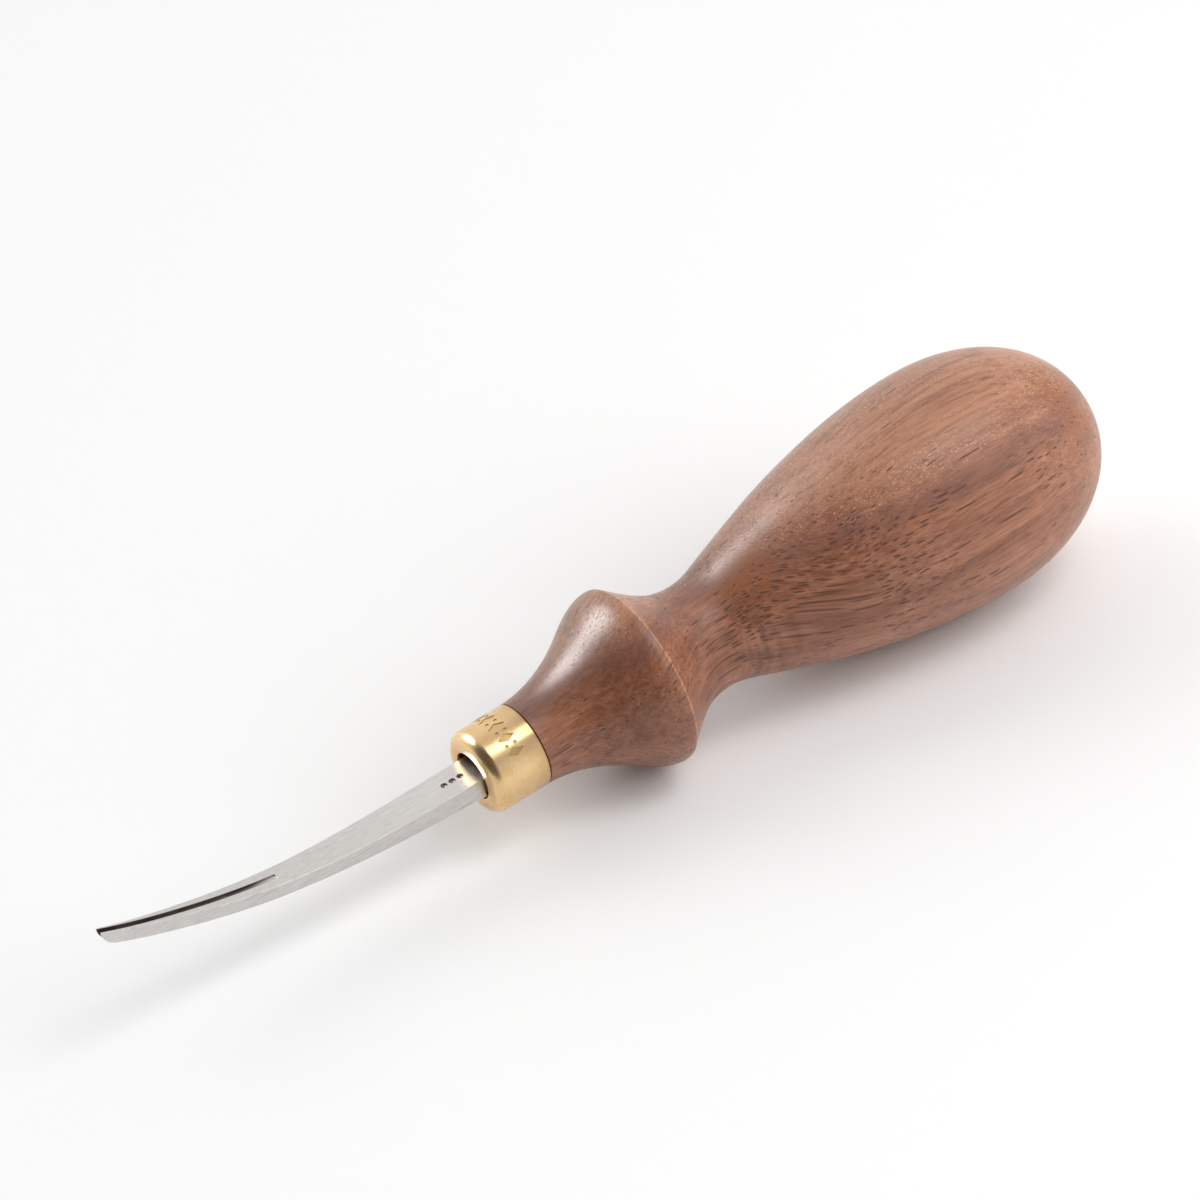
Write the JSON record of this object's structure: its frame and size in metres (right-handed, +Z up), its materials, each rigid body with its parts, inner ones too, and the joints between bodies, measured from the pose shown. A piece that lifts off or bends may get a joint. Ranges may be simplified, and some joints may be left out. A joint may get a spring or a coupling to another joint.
{
  "type": "leather edge beveler",
  "caption": "Hand tool that bevels leather edges: a slim upswept steel blade with a narrow groove, held by a brass ferrule in a turned, pear-shaped walnut handle.",
  "frame": {"origin": "bottom centre of the whole tool's bounding box, as it lies on its bulb and its collar", "axes": "+X lengthwise towards the blade's tip, +Z up and the side that the blade curves up to, +Y across; the turning axis lies in the XZ plane and drops 3.9 degrees towards the tip"},
  "size_m": [0.1348, 0.028, 0.0281],
  "materials": {
    "walnut": "satin oiled walnut with open pores along the grain",
    "ferrule_brass": "turned brass, polished, with a shallow engraved ornament",
    "tool_steel": "satin ground steel with fine scratches",
    "cured_epoxy": "dull cured adhesive, hidden inside the handle"
  },
  "bodies": {
    "root": {"handle": "walnut", "ferrule": "ferrule_brass", "blade": "tool_steel", "tang_adhesive": "cured_epoxy"}
  },
  "joints": []
}
